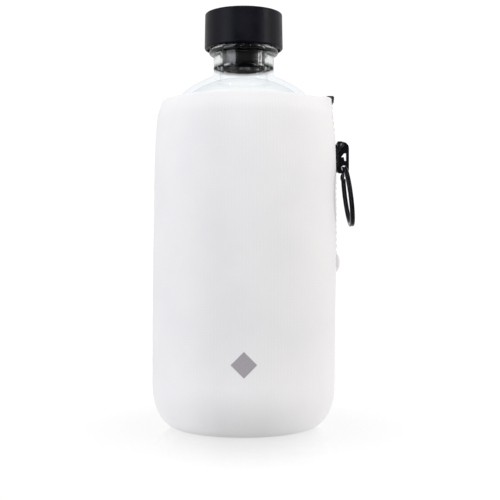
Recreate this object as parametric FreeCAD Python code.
"""Glass water bottle in a zipped fabric sleeve, with a screw cap that carries a neck plug.

Every separate piece of the object is its own solid and its own STEP file in parts/.
Units are millimetres and +Z is up.  The origin is the centre of the base, on the surface
that the bottle stands on.  The printed front faces -Y and the zip is on the +X side.
"""
import FreeCAD, Part
import math
import os

# ---- clearances ---------------------------------------------------------------------------
RUNNING_GAP = 0.05        # between pieces that slide or turn on each other
REST_GAP = 0.15           # between pieces that only lie against each other

# ---- glass bottle -------------------------------------------------------------------------
GLASS_RADIUS = 40.6
GLASS_WALL = 2.6
GLASS_BOTTOM = 3.1        # underside of the glass, above the sleeve's base panel
STANDING_RADIUS = 31.0    # outer edge of the ring that the glass stands on
STANDING_WIDTH = 6.0
PUSH_UP = 2.9             # height of the hollow under the glass base
FLOOR_EDGE = 8.0          # inside floor at its edge
FLOOR_CENTRE = 10.5
FLOOR_RADIUS = 29.2
HEEL_TOP = 20.6           # the wall is straight above this height
SHOULDER_BASE = 139.6     # the domed shoulder is a quarter ellipse above this height
SHOULDER_HEIGHT = 32.9
NECK_RADIUS = 14.7
BORE_RADIUS = 11.7
NECK_FILLET = 3.4
BEAD_RADIUS = 17.0
BEAD_CENTRE = 182.4
BEAD_HALF_HEIGHT = 1.5
BEAD_ROOT = 15.6
LIP_TOP = 197.0
LIP_ROUND = 0.8

# ---- screw thread shared by the glass finish and the cap -----------------------------------
THREAD_PITCH = 4.23       # six threads to the inch
THREAD_TURNS = 1.0
THREAD_ROOT_HALF = 1.15   # half the ridge's height at its root
THREAD_CREST_HALF = 0.5
THREAD_EMBED = 0.3        # how far a ridge runs into its wall, so that the two fuse
GLASS_CREST = 15.95
GLASS_THREAD_START = 188.1
CAP_CREST = 15.05

# ---- cap ----------------------------------------------------------------------------------
CAP_TOP = 201.0
CAP_BOTTOM = 183.5
CAP_RADIUS_BOTTOM = 19.15
CAP_RADIUS_TOP = 18.85
CAP_SHELL_BORE = 17.9
CAP_CEILING = 199.8
CAP_TOP_FILLET = 0.7
CAP_BOTTOM_FILLET = 1.1
CORE_RADIUS = 17.85
CORE_BORE = 16.15
CORE_BOTTOM = 184.8
CORE_DISC_BOTTOM = 197.9
CORE_DISC_TOP = 199.0
CORE_HOLE = 9.0
LINER_INNER = 11.0
LINER_OUTER = 15.8

# ---- neck plug, carried by the cap ---------------------------------------------------------
PLUG_RADIUS = 10.5
PLUG_WALL = 1.4
PLUG_BOTTOM = 173.8
PLUG_COLLAR = 8.9
PLUG_SNAP_LIP = 9.35
PLUG_EDGE = 1.0
SEAL_WIRE = 0.9           # cross-section radius of each sealing ring
SEAL_MEAN_RADIUS = 10.72
SEAL_HEIGHTS = (188.0, 192.0)
GROOVE_RADIUS = 9.75
GROOVE_HALF = 1.0

# ---- fabric sleeve ------------------------------------------------------------------------
SLEEVE_RADIUS = 44.5
SLEEVE_BORE = 40.9
SLEEVE_BASE_RADIUS = 32.0
SLEEVE_BASE_THICK = 2.8
SLEEVE_HEEL_TOP = 20.0
SLEEVE_HEEL_BORE_TOP = 20.4
STRAIGHT_TOP = 35.0
# Above its straight part the wall tapers slowly and then leans in over the shoulder, but the
# zip holds it out on its own side.  Each entry is height, radius away from the zip, radius at
# the zip.  The first section lies just inside the straight part, so that the two join.
SLEEVE_SECTIONS = (
    (34.5, 44.47, 44.47),
    (60.0, 44.3, 44.9),
    (85.0, 44.1, 45.3),
    (105.0, 43.8, 45.4),
    (125.0, 43.45, 45.35),
    (140.0, 42.9, 44.8),
    (149.5, 42.2, 43.9),
    (154.0, 41.4, 43.5),
    (158.5, 39.2, 43.4),
    (163.0, 36.3, 43.4),
)
LEAN_START = 140.0        # the bore is a plain cylinder below this height
LEAN_THICK = 2.0          # thickness of the wall where it leans in
PULL_HALF_ANGLE = 36.0    # the zip's hold on the wall fades out this far round, in degrees
SECTION_POINTS = 40
SECTION_STEP = 6.0        # the wall is drawn at least this often up its height
RIM_HEIGHT = 158.5

# ---- zip ----------------------------------------------------------------------------------
# Insets are measured inwards from the sleeve's outer surface.
ZIP_GAP_HALF = 4.4        # half the width of the opening between the fabric edges
ZIP_GAP_BOTTOM = 74.8
TAPE_INSET = 2.0
TAPE_THICK = 0.6
TAPE_EDGE_ANGLE = 18.0    # degrees around the bottle from the zip's centre line
POCKET_INSET = 1.9        # the fabric is thinned to this over the tapes
POCKET_DEPTH = 8.0        # cuts right through to the bore
POCKET_ANGLE = 19.0
TAPE_SPLIT = 0.3          # each tape stops this far from the centre line
TAPE_BOTTOM = 77.0
TAPE_TOP = 159.8          # only the narrow end of a tape stands above the fabric
TAPE_END_HALF = 4.2
TOOTH_INSET = 0.15
SPINE_INSET = 0.6
COIL_FOOT_INSET = 1.85
COIL_SPINE_OUTER = 2.7
COIL_SPINE_INNER = 1.8
COIL_TOOTH_TIP = 0.5      # how far a tooth reaches past the centre line
COIL_PITCH = 2.6
COIL_TOOTH = 0.95
COIL_BOTTOM = 84.2
COIL_TEETH = 28

TOP_STOP_LOW = 157.4
TOP_STOP_LEG = (42.8, 43.8)       # reach of the stop's leg, above the end of the coil
TOP_STOP_BEND = 0.2               # the leg leans in by this much
TOP_STOP_SHOULDER = (44.1, 160.2)
TOP_STOP_CORNER = 43.5
TOP_STOP_TOP = 160.8
TOP_STOP_BAR_LOW = 160.0          # the bar is bent over the ends of the tapes
TOP_STOP_BAR_INNER = 40.3
TOP_STOP_WIDTH = 2.4
BOTTOM_STOP_LOW = 75.0
BOTTOM_STOP_HIGH = 83.8
BOTTOM_STOP_HALF = 3.4
BOTTOM_STOP_INNER = 43.5
BOTTOM_STOP_FACE = ((45.2, 75.0), (46.95, 80.0), (45.9, 83.8))
BOTTOM_STOP_ROUND = 0.8

# ---- zip slider, pull tab and ring ---------------------------------------------------------
SLIDER_LOW = 123.6
SLIDER_HIGH = 138.0
SLIDER_INNER = 45.35
SLIDER_OUTER = 45.9
SLIDER_HALF = 4.1
SLIDER_CORNER = 1.8
SLIDER_EDGE = 0.25
FLANGE_INNER_Y = 2.85
FLANGE_OUTER_Y = 3.75
FLANGE_FOOT = 43.6
FLANGE_SETBACK = 1.0      # the flanges are this much shorter than the plate at each end
EAR_INNER_Y = 1.4
EAR_OUTER_Y = 2.4
EAR_RADIUS = 1.6
EAR_DROP = 3.4            # how far the ears run down the plate from the pin
JOIN = 0.1                # overlap of shapes that are fused
PIN_X = 47.5
PIN_Z = 137.2
PIN_RADIUS = 0.55
PIN_FIT = 0.02
PIN_HALF_LENGTH = 2.7
TAB_HALF = 1.3
TAB_LEFT = 46.0
TAB_RIGHT = 51.5
TAB_LOW = 123.3
TAB_HIGH = 138.7
TAB_EDGE = 0.2
TAB_CORNERS = (            # corner, fillet radius
    ((TAB_RIGHT, TAB_HIGH), 3.2),
    ((TAB_RIGHT, TAB_LOW), 2.0),
    ((TAB_LEFT, TAB_LOW), 0.8),
    ((TAB_LEFT, TAB_HIGH), 1.5),
)
TAB_WINDOW = ((47.7, 131.2), (49.0, 131.2), (49.3, 129.4), (50.1, 129.4), (50.1, 133.1), (49.2, 133.1))
RING_HOLE_X = 49.2
RING_HOLE_Z = 125.7
RING_HOLE_RADIUS = 1.45
RING_MEAN_RADIUS = 13.8
RING_WIRE_WIDTH = 2.1
RING_WIRE_THICK = 1.1
RING_PITCH = 1.15         # from the middle of one turn to the middle of the other
RING_LEAN = 7.5           # degrees that the hanging ring stands out from vertical
RING_CROSSING = 146       # where the wire steps from one turn to the other, in degrees from hanging
RING_CROSSING_HALF = 13   # the step is this long each way, and the wire's ends stop beside it
RING_END_GAP = 3
RING_POINTS = 100

UP = FreeCAD.Vector(0, 0, 1)
ORIGIN = FreeCAD.Vector(0, 0, 0)


# ---- drawing helpers ------------------------------------------------------------------------
def at(radius, height):
    """A point in the half plane that profiles are drawn in."""
    return FreeCAD.Vector(radius, 0, height)


def line(start, end):
    return Part.makeLine(at(*start), at(*end))


def arc(start, middle, end):
    return Part.Arc(at(*start), at(*middle), at(*end)).toShape()


def ellipse_arc(centre, major, minor, end_turn=math.pi / 2):
    """Part of an ellipse, from the tip of its major axis towards the tip of its minor one."""
    middle = at(*centre)
    tip = middle + at(*major)
    side = middle + at(*minor)
    return Part.ArcOfEllipse(Part.Ellipse(tip, side, middle), 0, end_turn).toShape()


def closed_face(edges):
    return Part.Face(Part.Wire(Part.__sortEdges__(edges)))


def revolved(edges):
    return closed_face(edges).revolve(ORIGIN, UP, 360)


def tube(inner, outer, low, high):
    """A plain ring about the bottle's axis."""
    outside = Part.makeCylinder(outer, high - low, at(0, low))
    return outside.cut(Part.makeCylinder(inner, high - low, at(0, low)))


def box(x_range, y_range, z_range):
    size = [high - low for low, high in (x_range, y_range, z_range)]
    corner = FreeCAD.Vector(x_range[0], y_range[0], z_range[0])
    return Part.makeBox(*size, corner)


def plate(points, half_width):
    """A flat outline in the X-Z plane, given thickness equally each way along Y."""
    corners = [FreeCAD.Vector(x, -half_width, z) for x, z in points]
    face = Part.Face(Part.makePolygon(corners + corners[:1]))
    return face.extrude(FreeCAD.Vector(0, 2 * half_width, 0))


def cross_rod(radius, x, z, half_length):
    """A round rod along Y."""
    start = FreeCAD.Vector(x, -half_length, z)
    return Part.makeCylinder(radius, 2 * half_length, start, FreeCAD.Vector(0, 1, 0))


def circles_on_axis(solid, radius, low, high):
    """The round edges of a given radius that lie between two heights."""
    found = []
    for edge in solid.Edges:
        if edge.Degenerated or not isinstance(edge.Curve, Part.Circle):
            continue
        if abs(edge.Curve.Radius - radius) < 0.01 and low < edge.CenterOfMass.z < high:
            found.append(edge)
    return found


def edges_along_y(solid, x, z, reach):
    """The straight edges along Y that pass within reach of a point in the X-Z plane."""
    found = []
    for edge in solid.Edges:
        bounds = edge.BoundBox
        is_straight = bounds.XLength < 0.01 and bounds.ZLength < 0.01
        if is_straight and math.hypot(bounds.XMin - x, bounds.ZMin - z) < reach:
            found.append(edge)
    return found


def edges_in_plane(solid, axis, level):
    """The edges that lie in one plane across X or Y."""
    found = []
    for edge in solid.Edges:
        bounds = edge.BoundBox
        low, high = (bounds.XMin, bounds.XMax) if axis == "X" else (bounds.YMin, bounds.YMax)
        if abs(low - level) < 0.001 and abs(high - level) < 0.001:
            found.append(edge)
    return found


def thread_ridge(wall_radius, crest_radius, start_height):
    """One helical ridge whose root is buried in the wall and whose crest is flat."""
    side = 1 if crest_radius > wall_radius else -1
    buried = wall_radius - side * THREAD_EMBED
    corners = [
        at(buried, -THREAD_ROOT_HALF),
        at(crest_radius, -THREAD_CREST_HALF),
        at(crest_radius, THREAD_CREST_HALF),
        at(buried, THREAD_ROOT_HALF),
    ]
    profile = Part.makePolygon(corners + corners[:1])
    path = Part.Wire(Part.makeHelix(THREAD_PITCH, THREAD_PITCH * THREAD_TURNS, wall_radius))
    ridge = path.makePipeShell([profile], True, True)
    ridge.translate(at(0, start_height))
    return ridge


# ---- glass ----------------------------------------------------------------------------------
def glass_outside():
    """The solid that the outer surface of the glass encloses, without its thread."""
    heel_height = HEEL_TOP - GLASS_BOTTOM
    heel_width = GLASS_RADIUS - STANDING_RADIUS
    neck_turn = math.acos(NECK_RADIUS / GLASS_RADIUS)
    neck_foot = SHOULDER_BASE + SHOULDER_HEIGHT * math.sin(neck_turn)
    hollow_radius = STANDING_RADIUS - STANDING_WIDTH
    bead_low = BEAD_CENTRE - BEAD_HALF_HEIGHT
    bead_high = BEAD_CENTRE + BEAD_HALF_HEIGHT
    hollow_top = GLASS_BOTTOM + PUSH_UP
    edges = [
        arc((0, hollow_top), (hollow_radius / 2, GLASS_BOTTOM + PUSH_UP * 0.75),
            (hollow_radius, GLASS_BOTTOM)),
        line((hollow_radius, GLASS_BOTTOM), (STANDING_RADIUS, GLASS_BOTTOM)),
        ellipse_arc((STANDING_RADIUS, HEEL_TOP), (0, -heel_height), (heel_width, 0)),
        line((GLASS_RADIUS, HEEL_TOP), (GLASS_RADIUS, SHOULDER_BASE)),
        ellipse_arc((0, SHOULDER_BASE), (GLASS_RADIUS, 0), (0, SHOULDER_HEIGHT), neck_turn),
        line((NECK_RADIUS, neck_foot), (NECK_RADIUS, bead_low)),
        line((NECK_RADIUS, bead_low), (BEAD_ROOT, bead_low)),
        arc((BEAD_ROOT, bead_low), (BEAD_RADIUS, BEAD_CENTRE), (BEAD_ROOT, bead_high)),
        line((BEAD_ROOT, bead_high), (NECK_RADIUS, bead_high)),
        line((NECK_RADIUS, bead_high), (NECK_RADIUS, LIP_TOP)),
        line((NECK_RADIUS, LIP_TOP), (0, LIP_TOP)),
        line((0, LIP_TOP), (0, hollow_top)),
    ]
    solid = revolved(edges)
    foot = circles_on_axis(solid, NECK_RADIUS, neck_foot - 1, neck_foot + 1)
    solid = solid.makeFillet(NECK_FILLET, foot)
    lip = circles_on_axis(solid, NECK_RADIUS, LIP_TOP - 1, LIP_TOP + 1)
    return solid.makeFillet(LIP_ROUND, lip)


def glass_inside():
    """The space that holds the water, up through the neck and out of the mouth."""
    inner_radius = GLASS_RADIUS - GLASS_WALL
    inner_rise = SHOULDER_HEIGHT - GLASS_WALL
    bore_turn = math.acos(BORE_RADIUS / inner_radius)
    bore_foot = SHOULDER_BASE + inner_rise * math.sin(bore_turn)
    heel_top = HEEL_TOP + 2
    above_lip = LIP_TOP + 1
    edges = [
        arc((0, FLOOR_CENTRE), (FLOOR_RADIUS / 2, FLOOR_EDGE + (FLOOR_CENTRE - FLOOR_EDGE) * 0.75),
            (FLOOR_RADIUS, FLOOR_EDGE)),
        ellipse_arc((FLOOR_RADIUS, heel_top), (0, FLOOR_EDGE - heel_top),
                    (inner_radius - FLOOR_RADIUS, 0)),
        line((inner_radius, heel_top), (inner_radius, SHOULDER_BASE)),
        ellipse_arc((0, SHOULDER_BASE), (inner_radius, 0), (0, inner_rise), bore_turn),
        line((BORE_RADIUS, bore_foot), (BORE_RADIUS, above_lip)),
        line((BORE_RADIUS, above_lip), (0, above_lip)),
        line((0, above_lip), (0, FLOOR_CENTRE)),
    ]
    return revolved(edges)


def glass_bottle():
    ridge = thread_ridge(NECK_RADIUS, GLASS_CREST, GLASS_THREAD_START)
    return glass_outside().cut(glass_inside()).fuse(ridge)


# ---- cap --------------------------------------------------------------------------------------
def cap_shell():
    """The matte outer cup that the hand turns."""
    outside = Part.makeCone(CAP_RADIUS_BOTTOM, CAP_RADIUS_TOP, CAP_TOP - CAP_BOTTOM,
                            at(0, CAP_BOTTOM))
    outside = outside.makeFillet(
        CAP_TOP_FILLET, circles_on_axis(outside, CAP_RADIUS_TOP, CAP_TOP - 0.1, CAP_TOP + 0.1))
    outside = outside.makeFillet(
        CAP_BOTTOM_FILLET,
        circles_on_axis(outside, CAP_RADIUS_BOTTOM, CAP_BOTTOM - 0.1, CAP_BOTTOM + 0.1))
    hollow = Part.makeCylinder(CAP_SHELL_BORE, CAP_CEILING - CAP_BOTTOM, at(0, CAP_BOTTOM))
    return outside.cut(hollow)


def cap_core():
    """The threaded cup inside the shell, with a hole in its roof for the plug's collar."""
    outside = Part.makeCylinder(CORE_RADIUS, CORE_DISC_TOP - CORE_BOTTOM, at(0, CORE_BOTTOM))
    hollow = Part.makeCylinder(CORE_BORE, CORE_DISC_BOTTOM - CORE_BOTTOM, at(0, CORE_BOTTOM))
    hole = Part.makeCylinder(CORE_HOLE, CORE_DISC_TOP - CORE_BOTTOM, at(0, CORE_BOTTOM))
    start = GLASS_THREAD_START - THREAD_PITCH / 2
    ridge = thread_ridge(CORE_BORE, CAP_CREST, start)
    return outside.cut(hollow).cut(hole).fuse(ridge)


def cap_liner():
    """The flat sealing washer between the glass lip and the roof of the core."""
    return tube(LINER_INNER, LINER_OUTER, LIP_TOP + RUNNING_GAP, CORE_DISC_BOTTOM - RUNNING_GAP)


def neck_plug():
    """A closed hollow plug that fills the neck and snaps into the core's roof."""
    body_top = CORE_DISC_BOTTOM - RUNNING_GAP
    lip_low = CORE_DISC_TOP + RUNNING_GAP
    lip_high = CAP_CEILING - 2 * RUNNING_GAP
    body = Part.makeCylinder(PLUG_RADIUS, body_top - PLUG_BOTTOM, at(0, PLUG_BOTTOM))
    body = body.makeFillet(
        PLUG_EDGE, circles_on_axis(body, PLUG_RADIUS, PLUG_BOTTOM - 0.1, PLUG_BOTTOM + 0.1))
    collar = Part.makeCylinder(PLUG_COLLAR, lip_high - body_top, at(0, body_top))
    lip = Part.makeCylinder(PLUG_SNAP_LIP, lip_high - lip_low, at(0, lip_low))
    hollow_radius = PLUG_COLLAR - PLUG_WALL
    hollow_low = PLUG_BOTTOM + PLUG_WALL
    hollow = Part.makeCylinder(hollow_radius, lip_high - hollow_low, at(0, hollow_low))
    plug = body.fuse([collar, lip]).cut(hollow)
    for height in SEAL_HEIGHTS:
        plug = plug.cut(tube(GROOVE_RADIUS, PLUG_RADIUS + 1, height - GROOVE_HALF,
                             height + GROOVE_HALF))
    return plug.removeSplitter()


def plug_seals():
    """The two round sealing rings that sit in the plug's grooves."""
    return Part.makeCompound(
        [Part.makeTorus(SEAL_MEAN_RADIUS, SEAL_WIRE, at(0, height)) for height in SEAL_HEIGHTS])


# ---- sleeve -----------------------------------------------------------------------------------
def zip_pull(angle):
    """How far the zip holds the wall out at an angle from +X: 1 at the zip, 0 well round from it."""
    turn = min(abs(angle) / PULL_HALF_ANGLE, 1)
    return math.cos(turn * math.pi / 2) ** 2


def section_wire(height, away, near):
    """A level outline of the sleeve, round except where the zip holds it out."""
    points = []
    for step in range(SECTION_POINTS):
        angle = 360 * step / SECTION_POINTS
        signed = angle if angle <= 180 else angle - 360
        radius = away + (near - away) * zip_pull(signed)
        turn = math.radians(angle)
        points.append(FreeCAD.Vector(radius * math.cos(turn), radius * math.sin(turn), height))
    curve = Part.BSplineCurve()
    curve.interpolate(points, True)
    return Part.Wire(curve.toShape())


def section_at(height):
    """The wall's radius away from the zip and at the zip, joining the sections smoothly."""
    last = len(SLEEVE_SECTIONS) - 1
    index = 0
    while index < last - 1 and height > SLEEVE_SECTIONS[index + 1][0]:
        index += 1
    before, lower, upper, after = [
        SLEEVE_SECTIONS[min(max(index + step, 0), last)] for step in (-1, 0, 1, 2)]
    span = upper[0] - lower[0]
    t = (height - lower[0]) / span
    radii = []
    for column in (1, 2):
        lower_slope = (upper[column] - before[column]) / (upper[0] - before[0]) * span
        upper_slope = (after[column] - lower[column]) / (after[0] - lower[0]) * span
        radii.append(
            lower[column] * (2 * t ** 3 - 3 * t ** 2 + 1) + lower_slope * (t ** 3 - 2 * t ** 2 + t)
            + upper[column] * (3 * t ** 2 - 2 * t ** 3) + upper_slope * (t ** 3 - t ** 2))
    return radii


def heights_between(low, high):
    """Evenly spaced heights, near enough together that the wall looks curved between them."""
    steps = math.ceil((high - low) / SECTION_STEP)
    return [low + (high - low) * step / steps for step in range(steps + 1)]


def wall_point(angle, height, inset):
    away, near = section_at(height)
    radius = away + (near - away) * zip_pull(angle) - inset
    turn = math.radians(angle)
    return FreeCAD.Vector(radius * math.cos(turn), radius * math.sin(turn), height)


def wall_band(first_angle, last_angle, low, high, outer_inset, inner_inset):
    """A strip that follows the wall at a depth below its surface."""
    wires = []
    middle_angle = (first_angle + last_angle) / 2
    for height in heights_between(low, high):
        angles = (first_angle, middle_angle, last_angle)
        outer = [wall_point(angle, height, outer_inset) for angle in angles]
        inner = [wall_point(angle, height, inner_inset) for angle in angles]
        wires.append(Part.Wire([
            Part.Arc(*outer).toShape(),
            Part.makeLine(outer[2], inner[2]),
            Part.Arc(*reversed(inner)).toShape(),
            Part.makeLine(inner[0], outer[0]),
        ]))
    return Part.makeLoft(wires, True, True)


def sleeve_core():
    """The tapering and leaning part of the sleeve as a full solid."""
    low, high = SLEEVE_SECTIONS[0][0], SLEEVE_SECTIONS[-1][0]
    wires = []
    for height in heights_between(low, high):
        wires.append(section_wire(height, *section_at(height)))
    return Part.makeLoft(wires, True, True)


def sleeve_foot():
    """The heel and the straight part of the sleeve as a full solid."""
    edges = [
        line((0, 0), (SLEEVE_BASE_RADIUS, 0)),
        ellipse_arc((SLEEVE_BASE_RADIUS, SLEEVE_HEEL_TOP), (0, -SLEEVE_HEEL_TOP),
                    (SLEEVE_RADIUS - SLEEVE_BASE_RADIUS, 0)),
        line((SLEEVE_RADIUS, SLEEVE_HEEL_TOP), (SLEEVE_RADIUS, STRAIGHT_TOP)),
        line((SLEEVE_RADIUS, STRAIGHT_TOP), (0, STRAIGHT_TOP)),
        line((0, STRAIGHT_TOP), (0, 0)),
    ]
    return revolved(edges)


def sleeve_bore():
    """The space inside the sleeve's straight and tapering parts, with the base panel's place."""
    heel_rise = SLEEVE_HEEL_BORE_TOP - SLEEVE_BASE_THICK
    edges = [
        line((0, 0), (SLEEVE_BASE_RADIUS, 0)),
        line((SLEEVE_BASE_RADIUS, 0), (SLEEVE_BASE_RADIUS, SLEEVE_BASE_THICK)),
        ellipse_arc((SLEEVE_BASE_RADIUS, SLEEVE_HEEL_BORE_TOP), (0, -heel_rise),
                    (SLEEVE_BORE - SLEEVE_BASE_RADIUS, 0)),
        line((SLEEVE_BORE, SLEEVE_HEEL_BORE_TOP), (SLEEVE_BORE, LEAN_START)),
        line((SLEEVE_BORE, LEAN_START), (0, LEAN_START)),
        line((0, LEAN_START), (0, 0)),
    ]
    return revolved(edges)


def leaning_bore():
    """The space inside the leaning top, which starts just inside the plain bore."""
    wires = [section_wire(LEAN_START - JOIN, SLEEVE_BORE - JOIN, SLEEVE_BORE - JOIN)]
    for height in heights_between(LEAN_START + SECTION_STEP / 2, SLEEVE_SECTIONS[-1][0]):
        away, _ = section_at(height)
        wires.append(section_wire(height, min(away - LEAN_THICK, SLEEVE_BORE), SLEEVE_BORE))
    return Part.makeLoft(wires, True, True)


def sleeve_wall():
    """The fabric wrap, open at the top and split down one side for the zip."""
    reach = SLEEVE_RADIUS * 2
    wall = sleeve_foot().fuse(sleeve_core()).cut(sleeve_bore()).cut(leaning_bore())
    pocket = wall_band(-POCKET_ANGLE, POCKET_ANGLE, ZIP_GAP_BOTTOM, TAPE_TOP, POCKET_INSET,
                       POCKET_DEPTH)
    gap = box((0, reach), (-ZIP_GAP_HALF, ZIP_GAP_HALF), (ZIP_GAP_BOTTOM, CAP_TOP))
    above = box((-reach, reach), (-reach, reach), (RIM_HEIGHT, CAP_TOP))
    return wall.cut(pocket).cut(gap).cut(above)


def sleeve_base():
    return Part.makeCylinder(SLEEVE_BASE_RADIUS - REST_GAP, SLEEVE_BASE_THICK)


# ---- zip --------------------------------------------------------------------------------------
def zip_tape(side):
    """One woven tape, behind the coil; side is -1 for the front tape and 1 for the rear."""
    split_angle = math.degrees(TAPE_SPLIT / SLEEVE_RADIUS)
    angles = sorted((side * split_angle, side * TAPE_EDGE_ANGLE))
    tape = wall_band(*angles, TAPE_BOTTOM, TAPE_TOP, TAPE_INSET, TAPE_INSET + TAPE_THICK)
    beyond_end = sorted((side * TAPE_END_HALF, side * SLEEVE_RADIUS))
    return tape.cut(box((0, SLEEVE_RADIUS), beyond_end, (RIM_HEIGHT - REST_GAP, CAP_TOP)))


def coil_strip(outer_inset, low, high, first_y, last_y):
    """A straight-sided strip of the coil that follows the wall's reach at the zip."""
    heights = heights_between(low, high)
    outer = [(section_at(height)[1] - outer_inset, height) for height in heights]
    inner = [(section_at(height)[1] - COIL_FOOT_INSET, height) for height in reversed(heights)]
    corners = [FreeCAD.Vector(x, first_y, z) for x, z in outer + inner]
    face = Part.Face(Part.makePolygon(corners + corners[:1]))
    return face.extrude(FreeCAD.Vector(0, last_y - first_y, 0))


def zip_coil(side):
    """One row of teeth on its spine; the two rows mesh half a pitch apart."""
    spine_y = sorted((side * COIL_SPINE_INNER, side * COIL_SPINE_OUTER))
    tooth_y = sorted((-side * COIL_TOOTH_TIP, side * COIL_SPINE_OUTER))
    first = COIL_BOTTOM + (COIL_PITCH / 2 if side > 0 else 0)
    teeth = []
    for tooth in range(COIL_TEETH):
        foot = first + tooth * COIL_PITCH
        teeth.append(coil_strip(TOOTH_INSET, foot, foot + COIL_TOOTH, *tooth_y))
    spine = coil_strip(SPINE_INSET, COIL_BOTTOM, foot + COIL_TOOTH, *spine_y)
    return spine.fuse(teeth)


def zip_top_stops():
    """Two bent clamps that close the top ends of the tapes."""
    leg_inner, leg_outer = TOP_STOP_LEG
    points = [
        (TOP_STOP_BAR_INNER, TOP_STOP_BAR_LOW),
        (leg_inner + TOP_STOP_BEND, TOP_STOP_BAR_LOW),
        (leg_inner, TOP_STOP_LOW),
        (leg_outer, TOP_STOP_LOW),
        TOP_STOP_SHOULDER,
        (TOP_STOP_CORNER, TOP_STOP_TOP),
        (TOP_STOP_BAR_INNER, TOP_STOP_TOP),
    ]
    stops = []
    for side in (-1, 1):
        stop = plate(points, TOP_STOP_WIDTH / 2)
        stop.translate(FreeCAD.Vector(0, side * (COIL_SPINE_OUTER - TOP_STOP_WIDTH / 3), 0))
        stops.append(stop)
    return Part.makeCompound(stops)


def zip_bottom_stop():
    """The soft rounded block that the tapes finish in, which stands out from the fabric."""
    low_corner, _, high_corner = BOTTOM_STOP_FACE
    foot = (BOTTOM_STOP_INNER, BOTTOM_STOP_LOW)
    head = (BOTTOM_STOP_INNER, BOTTOM_STOP_HIGH)
    outline = closed_face([line(foot, low_corner), arc(*BOTTOM_STOP_FACE),
                           line(high_corner, head), line(head, foot)])
    block = outline.extrude(FreeCAD.Vector(0, 2 * BOTTOM_STOP_HALF, 0))
    block.translate(FreeCAD.Vector(0, -BOTTOM_STOP_HALF, 0))
    rims = [edge for edge in block.Edges if isinstance(edge.Curve, Part.Circle)]
    return block.makeFillet(BOTTOM_STOP_ROUND, rims)


# ---- slider, pull tab and ring ----------------------------------------------------------------
def slider_body():
    """The outer plate of the slider, the flanges that hook the coil, and the pin's two ears."""
    cover = box((SLIDER_INNER, SLIDER_OUTER), (-SLIDER_HALF, SLIDER_HALF), (SLIDER_LOW, SLIDER_HIGH))
    corners = [edge for edge in cover.Edges if edge.BoundBox.XLength > JOIN]
    cover = cover.makeFillet(SLIDER_CORNER, corners)
    cover = cover.makeFillet(SLIDER_EDGE, edges_in_plane(cover, "X", SLIDER_OUTER))
    parts = []
    for side in (-1, 1):
        flange_y = sorted((side * FLANGE_INNER_Y, side * FLANGE_OUTER_Y))
        parts.append(box((FLANGE_FOOT, SLIDER_INNER + JOIN), flange_y,
                         (SLIDER_LOW + FLANGE_SETBACK, SLIDER_HIGH - FLANGE_SETBACK)))
        ear_y = sorted((side * EAR_INNER_Y, side * EAR_OUTER_Y))
        parts.append(box((SLIDER_OUTER - JOIN, PIN_X), ear_y, (PIN_Z - EAR_DROP, PIN_Z + EAR_RADIUS)))
        start = FreeCAD.Vector(PIN_X, ear_y[0], PIN_Z)
        parts.append(Part.makeCylinder(EAR_RADIUS, EAR_OUTER_Y - EAR_INNER_Y, start,
                                       FreeCAD.Vector(0, 1, 0)))
    solid = cover.fuse(parts).removeSplitter()
    return solid.cut(cross_rod(PIN_RADIUS + PIN_FIT, PIN_X, PIN_Z, PIN_HALF_LENGTH + 1))


def slider_pin():
    return cross_rod(PIN_RADIUS, PIN_X, PIN_Z, PIN_HALF_LENGTH)


def pull_tab():
    """The flat tab that hangs on the pin, with a window and a hole for the ring."""
    outline = [(TAB_LEFT, TAB_LOW), (TAB_RIGHT, TAB_LOW), (TAB_RIGHT, TAB_HIGH), (TAB_LEFT, TAB_HIGH)]
    tab = plate(outline, TAB_HALF)
    for corner, radius in TAB_CORNERS:
        tab = tab.makeFillet(radius, edges_along_y(tab, *corner, JOIN))
    tab = tab.cut(plate(TAB_WINDOW, TAB_HALF + 1))
    tab = tab.cut(cross_rod(RING_HOLE_RADIUS, RING_HOLE_X, RING_HOLE_Z, TAB_HALF + 1))
    tab = tab.cut(cross_rod(PIN_RADIUS + RUNNING_GAP, PIN_X, PIN_Z, TAB_HALF + 1))
    faces = edges_in_plane(tab, "Y", -TAB_HALF) + edges_in_plane(tab, "Y", TAB_HALF)
    return tab.makeFillet(TAB_EDGE, faces)


def ring_path():
    """Nearly two turns of the wire, which lie flat together except where it steps across."""
    first = RING_CROSSING + RING_CROSSING_HALF + RING_END_GAP
    last = RING_CROSSING + 720 - RING_CROSSING_HALF - RING_END_GAP
    points = []
    for step in range(RING_POINTS + 1):
        angle = first + (last - first) * step / RING_POINTS
        across = (angle - RING_CROSSING - 360) / RING_CROSSING_HALF
        across = min(max(across, -1), 1)
        level = RING_PITCH / 2 * math.sin(across * math.pi / 2)
        turn = math.radians(angle)
        points.append(FreeCAD.Vector(RING_MEAN_RADIUS * math.cos(turn),
                                     RING_MEAN_RADIUS * math.sin(turn), level))
    return points


def profile_at_start(profile):
    """The wire's outline, moved from the X axis to where the ring's path starts."""
    start = RING_CROSSING + RING_CROSSING_HALF + RING_END_GAP
    moved = profile.copy()
    moved.rotate(ORIGIN, UP, start)
    moved.translate(at(0, -RING_PITCH / 2))
    return moved


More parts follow.
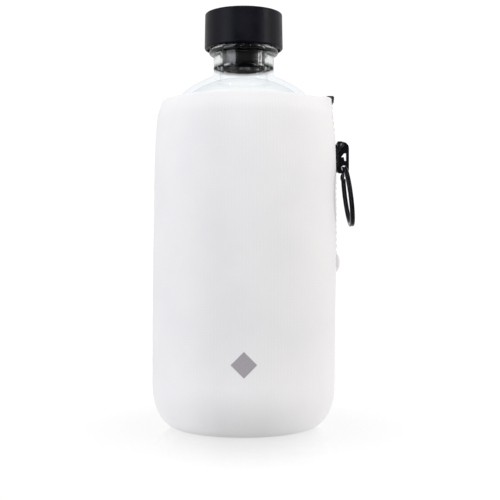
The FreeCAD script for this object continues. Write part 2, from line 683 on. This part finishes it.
def split_ring():
    """Two turns of flat spring wire, hanging through the hole in the tab."""
    inner = RING_MEAN_RADIUS - RING_WIRE_WIDTH / 2
    outer = RING_MEAN_RADIUS + RING_WIRE_WIDTH / 2
    half = RING_WIRE_THICK / 2
    flat = RING_WIRE_WIDTH / 2 - half
    profile = Part.Wire([
        line((RING_MEAN_RADIUS - flat, -half), (RING_MEAN_RADIUS + flat, -half)),
        arc((RING_MEAN_RADIUS + flat, -half), (outer, 0), (RING_MEAN_RADIUS + flat, half)),
        line((RING_MEAN_RADIUS + flat, half), (RING_MEAN_RADIUS - flat, half)),
        arc((RING_MEAN_RADIUS - flat, half), (inner, 0), (RING_MEAN_RADIUS - flat, -half)),
    ])
    path = Part.BSplineCurve()
    path.interpolate(ring_path())
    coil = Part.Wire(path.toShape()).makePipeShell([profile_at_start(profile)], True, True)
    lean = math.radians(RING_LEAN)
    hang = FreeCAD.Vector(math.sin(lean), 0, -math.cos(lean))
    normal = FreeCAD.Vector(math.cos(lean), 0, math.sin(lean))
    turned = FreeCAD.Rotation(hang, normal.cross(hang), normal, "ZXY")
    centre = at(RING_HOLE_X, RING_HOLE_Z) + hang * RING_MEAN_RADIUS
    coil.Placement = FreeCAD.Placement(centre, turned).multiply(coil.Placement)
    return coil


def main():
    pieces = {
        "glass_bottle": glass_bottle(),
        "cap_shell": cap_shell(),
        "cap_core": cap_core(),
        "cap_liner": cap_liner(),
        "neck_plug": neck_plug(),
        "plug_seals": plug_seals(),
        "sleeve_wall": sleeve_wall(),
        "sleeve_base": sleeve_base(),
        "zip_tape_front": zip_tape(-1),
        "zip_tape_rear": zip_tape(1),
        "zip_coil_front": zip_coil(-1),
        "zip_coil_rear": zip_coil(1),
        "zip_top_stops": zip_top_stops(),
        "zip_bottom_stop": zip_bottom_stop(),
        "slider_body": slider_body(),
        "slider_pin": slider_pin(),
        "pull_tab": pull_tab(),
        "split_ring": split_ring(),
    }
    os.makedirs("parts", exist_ok=True)
    for name, shape in pieces.items():
        if not shape.isValid() or shape.Volume <= 0:
            raise ValueError(f"{name} is not a sound solid")
        shape.exportStep(f"parts/{name}.step")
        print(f"{name:16s} solids {len(shape.Solids)}  volume {shape.Volume / 1000:8.3f} cm3")


main()
